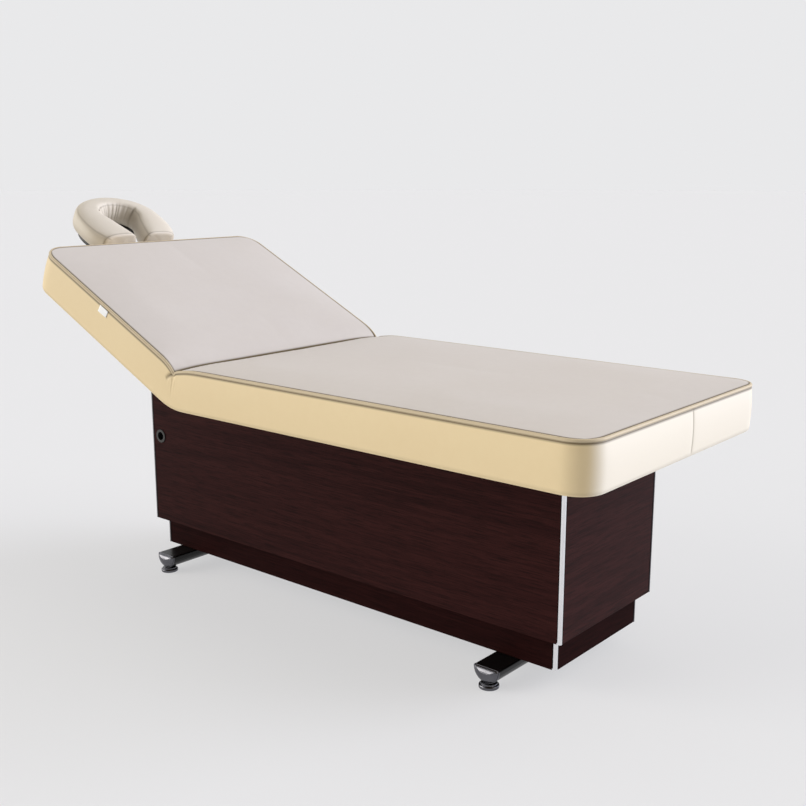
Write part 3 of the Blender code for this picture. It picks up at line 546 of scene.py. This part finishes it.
def mattress():
    """One sewn cover over seat and backrest, and the piping along its top edge."""
    u_low, u_high = -(BACK_LENGTH - INSET), SEAT_LENGTH - INSET
    half, radius = HALF_WIDTH - INSET, CORNER - INSET
    crease = sorted({s * v for v in CREASE_LINES for s in (-1.0, 1.0)})
    us = lines(u_low, u_high, radius, 0.017, crease)
    ys = lines(-half, half, radius, 0.017, (FOOT_SEAM_Y - 0.004, FOOT_SEAM_Y - 0.0013,
                                            FOOT_SEAM_Y, FOOT_SEAM_Y + 0.0013, FOOT_SEAM_Y + 0.004))
    nu, ny = len(us), len(ys)
    verts, free, seam, pale, faces, kinds = [], [], [], [], [], []

    def index(i, j):
        return i * ny + j

    def plan_grid(z, upper):
        start = len(verts)
        for u0 in us:
            for y0 in ys:
                u, y = in_plan(u0, y0, u_low, u_high, half, radius)
                on_edge = u0 in (us[0], us[-1]) or y0 in (ys[0], ys[-1])
                if upper:
                    verts.append(bed_place(u, y, z + top_sag(u, y)))
                    free.append(0.0 if on_edge or abs(u) < 0.003 else 1.0)
                    # Painted shade: a dark line along the top panel's edge beside the piping and in the
                    # crease, set to the backrest side of the groove.
                    seam.append(1.0 if on_edge else math.exp(-((u + 0.0026) / 0.0050) ** 4))
                else:
                    verts.append(bed_place(u, y, z))
                    free.append(0.0)
                    seam.append(0.0)
                pale.append(0.0)
        return start

    top = plan_grid(TOP, True)
    for i in range(nu - 1):
        for j in range(ny - 1):
            a = top + index(i, j)
            faces.append((a, a + ny, a + ny + 1, a + 1))
            kinds.append(0)
    loop = [(i, 0) for i in range(nu - 1)] + [(nu - 1, j) for j in range(ny - 1)]
    loop += [(i, ny - 1) for i in range(nu - 1, 0, -1)] + [(0, j) for j in range(ny - 1, 0, -1)]
    outline = []
    for i, j in loop:
        u, y = in_plan(us[i], ys[j], u_low, u_high, half, radius)
        centre = Vector((min(max(u, u_low + radius), u_high - radius),
                         min(max(y, -half + radius), half - radius)))
        out = (Vector((u, y)) - centre).normalized()
        outline.append((u, y, out))

    previous = [top + index(i, j) for i, j in loop]
    for out_by, drop, line in BOXING_RINGS:
        ring = []
        for u, y, out in outline:
            along_side = abs(out.y) > 0.7
            at = u + out.x * out_by
            across = y + out.y * out_by
            z = TOP - drop
            dark = line
            if along_side:
                # The fold tucks in under the piping, with a slanting tail and soft dents; the tail's dark
                # line is painted shade in the fold.
                z += top_sag(u, y) * clamp(1.0 - drop / 0.05)
                tuck = near(u, 0.0, 0.012) * clamp(1.0 - drop / 0.035)
                tail = near(u, -0.60 * drop, 0.0038) * clamp(1.0 - (drop / 0.044) ** 4)
                dents = near(u, 0.004, 0.020) * near(drop, 0.040, 0.032)
                dents *= math.cos((u - 0.002) / 0.0105 * math.pi)
                across -= math.copysign(0.0045 * tail + 0.0030 * tuck + 0.0013 * dents, out.y)
                dark = max(dark, tail)
            elif out.x > 0.7 and 0.0095 < drop < 0.1105:
                # The upright foot-end seam is pressed in and darkened: stitching, with painted shade in the
                # dent.
                stitch = near(y, FOOT_SEAM_Y, 0.0017)
                at -= 0.0016 * stitch
                dark = max(dark, 0.45 * stitch)
            ring.append(len(verts))
            verts.append(bed_place(at, across, z))
            free.append(1.0 if 0.012 < drop < 0.108 else 0.0)
            seam.append(dark)
            # Painted glare on the foot-end boxing, fading in round the corners.
            pale.append(clamp((out.x - 0.75) / 0.25))
        for k in range(len(loop)):
            n = (k + 1) % len(loop)
            faces.append((previous[k], previous[n], ring[n], ring[k]))
            kinds.append(1)
        previous = ring
    under = plan_grid(BOTTOM + 0.0006, False)
    for i in range(nu - 1):
        for j in range(ny - 1):
            a = under + index(i, j)
            faces.append((a, a + 1, a + ny + 1, a + ny))
            kinds.append(1)
    last = [under + index(i, j) for i, j in loop]
    for k in range(len(loop)):
        n = (k + 1) % len(loop)
        faces.append((previous[k], previous[n], last[n], last[k]))
        kinds.append(1)
    cover = mesh_object("mattress_cover", verts, faces, [TOP_PANEL, SIDE_PANEL], kinds,
                        seam=seam, pale=pale)
    fix_normals(cover)
    inflate(cover, free, pressure=1.6, cap=0.011)

    path, normals = [], []
    for u, y, out in outline:
        place = bed_place(u + out.x * 0.0024, y + out.y * 0.0024, TOP - 0.0040 + 0.85 * top_sag(u, y))
        if abs(u) < 0.004 and abs(out.y) > 0.7:
            place += Vector((0.0, -math.copysign(0.0015, out.y), -0.0015))
        ahead = bed_place(u + out.x * 0.02, y + out.y * 0.02, TOP)
        outward = (ahead - bed_place(u, y, TOP)).normalized()
        above = (bed_place(u, y, TOP) - bed_place(u, y, TOP - 0.02)).normalized()
        path.append(place)
        normals.append((outward + above).normalized())
    welt = tube_loop("top_piping", path, PIPING_RADIUS, 16, PIPING, normals,
                     (math.radians(100), math.radians(260)), 0.42)
    return cover, welt


cover, welt = mattress()
subdivide(cover)
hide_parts("seat_cushion", "backrest_cushion", "fold_cushion")
for piece in (cover, welt):
    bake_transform(piece)


# ---------------------------------------------------------------- face cradle cushion
def along_half(points, share):
    """A point of a smooth curve through points; share runs from 0 at the first to 1."""
    mirror = (points[-2][0], -points[-2][1])
    lead = (2 * points[0][0] - points[1][0], 2 * points[0][1] - points[1][1])
    chain = [lead, *points, mirror]
    place = min(share, 0.99999) * (len(points) - 1)
    k, t = int(place), place - int(place)
    value = []
    for axis in (0, 1):
        p0, p1, p2, p3 = (chain[k + n][axis] for n in range(4))
        value.append(0.5 * (2 * p1 + (p2 - p0) * t + (2 * p0 - 5 * p1 + 4 * p2 - p3) * t * t
                            + (3 * p1 - p0 - 3 * p2 + p3) * t ** 3))
    return Vector(value)


def face_cushion():
    """A horseshoe with wide boxy arms: top, inner and outer panels sewn along four seams."""
    around, segments = 48, 62
    shares = [0.0, 0.004, 0.010, 0.018, 0.028] + [0.028 + 0.972 * k / segments
                                                  for k in range(1, segments + 1)]
    shares = [(s, 1.0) for s in shares] + [(s, -1.0) for s in reversed(shares[:-1])]
    seams = [math.radians(d) for d in (36.0, 142.0, 216.0, 324.0)]
    depths = [0.40, 0.30, 0.60, 0.60]             # how dark each seam is
    verts, free, seam, warm = [], [], [], []
    for share, side in shares:
        outer, inner = along_half(PAD_OUTER, share), along_half(PAD_INNER, share)
        outer.y *= side
        inner.y *= side
        middle, reach = (outer + inner) / 2, (outer - inner) / 2
        reach *= 1.0 - 0.003 / reach.length
        fall = max(0.0, 1.0 - share / 0.028)
        # Painted shade: the inner top line is darker on the near arm, around where it meets the head side.
        depths[1] = 0.30 + (0.5 * near(share, 0.62, 0.14) if side < 0 else 0.0)
        grow = 1.0 - 0.15 * (1.0 - math.sqrt(1.0 - fall * fall))
        for j in range(around):
            phase = math.tau * j / around
            flat, high = math.cos(phase), math.sin(phase)
            lean = -0.0055 * flat * max(0.0, high)
            flat = math.copysign(abs(flat) ** 0.60, flat) * grow
            high = math.copysign(abs(high) ** 0.60, high) * (PAD_HALF_HEIGHT - 0.002) * grow
            # The inner wall leans back, most of all at the head side.
            if flat < 0.0 < high:
                lean_back = 0.12 + 0.30 * clamp((share - 0.40) / 0.30)
                flat *= 1.0 - lean_back * high / PAD_HALF_HEIGHT
            # Gathers on the inner wall at the head side, deepest just under the top seam.
            wall = near(phase, math.radians(165), 0.55) * max(0.0, share - 0.45) / 0.55
            ripple = math.sin(share * 95.0 + side * 0.7 + 1.5 * math.sin(share * 37.0))
            flat -= 0.050 * wall * ripple * (1.0 if flat < 0 else 0.0)
            # The inner wall folds in sharply where each arm meets the head side.
            fold = near(share, 0.60, 0.022) * near(phase, math.radians(160), 0.75)
            flat += 0.16 * fold * (1.0 if flat < 0 else 0.0)
            point = middle + reach * flat
            verts.append((point.x, point.y, PAD_MID_Z + high + lean))
            line = max(depth * near(phase, s, 0.045) for s, depth in zip(seams, depths))
            # Painted shade: darker, warmer colour on the inner wall and low down, where shade falls.
            below = max(0.0, -math.sin(phase)) ** 0.7
            warm.append(max(0.22 * near(phase, math.radians(185), 0.75), 0.80 * below))
            at_end = near(share, 0.020, 0.006)
            held = any(abs(phase - s) < 0.075 for s in seams) or abs(share - 0.018) < 0.002
            free.append(0.0 if held or share < 0.004 else 1.0)
            # Painted shade darkens the fold where each arm meets the head side.
            seam.append(max(line, 0.55 * at_end, 0.35 * fold))
    faces = []
    for k in range(len(shares) - 1):
        for j in range(around):
            n = (j + 1) % around
            faces.append((k * around + j, k * around + n, (k + 1) * around + n, (k + 1) * around + j))
    # Each flat end is filled with rings that shrink to a small middle face.
    for first in (0, (len(shares) - 1) * around):
        ring = list(range(first, first + around))
        rim = [Vector(verts[i]) for i in ring]
        centre = sum(rim, Vector()) / around
        for step, scale in enumerate((0.88, 0.70, 0.48, 0.22)):
            fresh = list(range(len(verts), len(verts) + around))
            for point in rim:
                verts.append(tuple(centre + (point - centre) * scale
                                   + Vector((0.0011 * (step + 1), 0.0, 0.0))))
                free.append(1.0)
                seam.append(0.0)
                # Painted shade over the flat ends as well.
                warm.append(0.25)
            for j in range(around):
                n = (j + 1) % around
                faces.append((ring[j], ring[n], fresh[n], fresh[j]))
            ring = fresh
        faces.append(tuple(ring))
    pad = mesh_object("face_cradle_cushion", verts, faces, [PAD_LEATHER], seam=seam, warm=warm)
    fix_normals(pad)
    inflate(pad, free, pressure=3.2, cap=0.006)
    pad.data.transform(CRADLE_FRAME)
    subdivide(pad)
    return pad


pad = face_cushion()
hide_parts("face_cushion")
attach(pad, "face_cradle")


# ---------------------------------------------------------------- small pieces
def white_label():
    """A plain white sewn-in tag under the backrest's near piping."""
    verts, faces = [], []
    across, down = 10, 7
    for layer in (0.0, 1.0):
        for i in range(across + 1):
            for j in range(down + 1):
                u = TAG_U + TAG_LENGTH * i / across
                z = TOP - 0.0075 - TAG_HEIGHT * j / down
                curl = 0.0028 * (j / down) ** 2 + 0.0006 * math.sin(i / across * 5.0) * (j / down)
                y = -(HALF_WIDTH + 0.0009 + curl + TAG_THICK * layer)
                verts.append(BACK_FRAME @ Vector((u, y, z)))
    row = down + 1
    per_layer = (across + 1) * row
    for i in range(across):
        for j in range(down):
            a = i * row + j
            faces.append((a, a + 1, a + row + 1, a + row))
            b = a + per_layer
            faces.append((b, b + row, b + row + 1, b + 1))
    rim = [i * row for i in range(across)] + [across * row + j for j in range(down)]
    rim += [i * row + down for i in range(across, 0, -1)] + list(range(down, 0, -1))
    for k, a in enumerate(rim):
        n = rim[(k + 1) % len(rim)]
        faces.append((a, n, n + per_layer, a + per_layer))
    m = Nodes("white_woven_tag", (0.86, 0.87, 0.88), 0.7)
    weave = m.noise(1.0, 2.0, 0.5, 0.0, m.mapped((2600.0, 400.0, 2600.0)))
    m.colour(m.mix(m.span(weave, 0.0, 0.3), (0.88, 0.89, 0.90), (0.62, 0.66, 0.74)))
    m.bump(weave, 0.3, 0.0003)
    tag = mesh_object("blank_tag", verts, faces, [m.material])
    fix_normals(tag)
    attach(tag, "backrest")


white_label()


# ---------------------------------------------------------------- floor, light and camera
PALE = (0.815, 0.815, 0.825)
FLOOR_GLOW = 0.66                 # a lit table: keeps the shadow under the bed light and soft


def floor_disc():
    """A plain pale floor that runs far past the view, as bright as the world behind it."""
    bm = bmesh.new()
    bmesh.ops.create_circle(bm, cap_ends=True, segments=96, radius=60.0)
    mesh = bpy.data.meshes.new("studio_floor")
    bm.to_mesh(mesh)
    bm.free()
    floor = bpy.data.objects.new("studio_floor", mesh)
    bpy.context.scene.collection.objects.link(floor)
    paper = Nodes("studio_paper", (0.235, 0.235, 0.238), 1.0)
    paper.colour(paper.mix(paper.noise(1.5, 3.0, 0.5), (0.233, 0.233, 0.236), (0.237, 0.237, 0.240)))
    paper.set(Specular_IOR_Level=0.0, Emission_Color=(*PALE, 1.0), Emission_Strength=FLOOR_GLOW)
    paper.material.cycles.emission_sampling = "NONE"
    mesh.materials.append(paper.material)


def soft_sun(name, azimuth, height, strength, spread, colour):
    """A wide, distant light. azimuth is where it comes from, counted from +X towards +Y."""
    data = bpy.data.lights.new(name, "SUN")
    data.energy = strength
    data.angle = math.radians(spread)
    data.color = colour
    lamp = bpy.data.objects.new(name, data)
    turn, rise = math.radians(azimuth), math.radians(height)
    source = Vector((math.cos(turn) * math.cos(rise), math.sin(turn) * math.cos(rise), math.sin(rise)))
    lamp.rotation_euler = source.to_track_quat("Z", "Y").to_euler()
    bpy.context.scene.collection.objects.link(lamp)


floor_disc()
soft_sun("key_right", azimuth=50.0, height=12.0, strength=3.5, spread=40.0, colour=(0.96, 1.0, 1.18))
soft_sun("fill_left", azimuth=222.0, height=12.0, strength=2.75, spread=50.0, colour=(1.0, 0.96, 0.88))
soft_sun("overhead", azimuth=40.0, height=50.0, strength=0.8, spread=60.0, colour=(1.0, 0.96, 0.88))

# A plain pale world to look at; the light it gives has a dark patch on one side, like a studio flag.
world = bpy.data.worlds.new("studio")
bpy.context.scene.world = world
world.use_nodes = True
sky = world.node_tree.nodes
links = world.node_tree.links
place = sky.new("ShaderNodeTexCoord")
toward = sky.new("ShaderNodeVectorMath")
toward.operation = "DOT_PRODUCT"
toward.inputs[1].default_value = (0.50, -0.55, 0.67)
flag = sky.new("ShaderNodeValToRGB")
flag.color_ramp.interpolation = "EASE"
flag.color_ramp.elements[0].position = 0.52
flag.color_ramp.elements[0].color = (*PALE, 1.0)
flag.color_ramp.elements[1].position = 0.87
flag.color_ramp.elements[1].color = (0.10, 0.067, 0.032, 1.0)
links.new(place.outputs["Generated"], toward.inputs[0])
links.new(toward.outputs["Value"], flag.inputs["Fac"])
rays = sky.new("ShaderNodeLightPath")
plain = sky.new("ShaderNodeMix")
plain.data_type = "RGBA"
plain.inputs[7].default_value = (*PALE, 1.0)
links.new(rays.outputs["Is Camera Ray"], plain.inputs[0])
links.new(flag.outputs["Color"], plain.inputs[6])
links.new(plain.outputs[2], sky["Background"].inputs["Color"])
sky["Background"].inputs["Strength"].default_value = 1.0
bpy.context.scene.view_settings.view_transform = "Standard"
bpy.context.scene.view_settings.look = "None"

lens = bpy.data.cameras.new("camera")
lens.sensor_width = 36.0
lens.lens = 49.03
camera = bpy.data.objects.new("camera", lens)
camera.location = (1.8979 + SHIFT, -2.1551, 1.1586)
camera.rotation_euler = (math.pi / 2 - 0.2104, 0.0, 0.6996)
bpy.context.scene.collection.objects.link(camera)
bpy.context.scene.camera = camera
